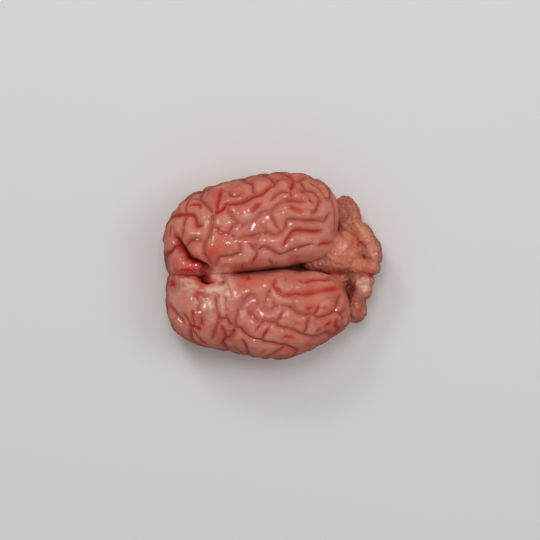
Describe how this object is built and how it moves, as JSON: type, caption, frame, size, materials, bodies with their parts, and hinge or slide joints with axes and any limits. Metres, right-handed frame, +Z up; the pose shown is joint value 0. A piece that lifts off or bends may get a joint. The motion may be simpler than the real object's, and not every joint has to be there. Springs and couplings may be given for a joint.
{
  "type": "calf brain",
  "caption": "Raw calf brain with folded cerebral hemispheres side by side, a deep fissure between them and a leafy cerebellum behind.",
  "frame": {"origin": "bottom centre of the overall box, on the plane the brain lies on", "axes": "+X towards the cerebellum (the animal's back), +Y towards the animal's right side, +Z up"},
  "size_m": [0.1098, 0.0942, 0.0461],
  "materials": {
    "raw_brain": "wet raw flesh, pink with darker red grooves"
  },
  "bodies": {
    "root": {"calf_brain": "raw_brain"}
  },
  "joints": []
}
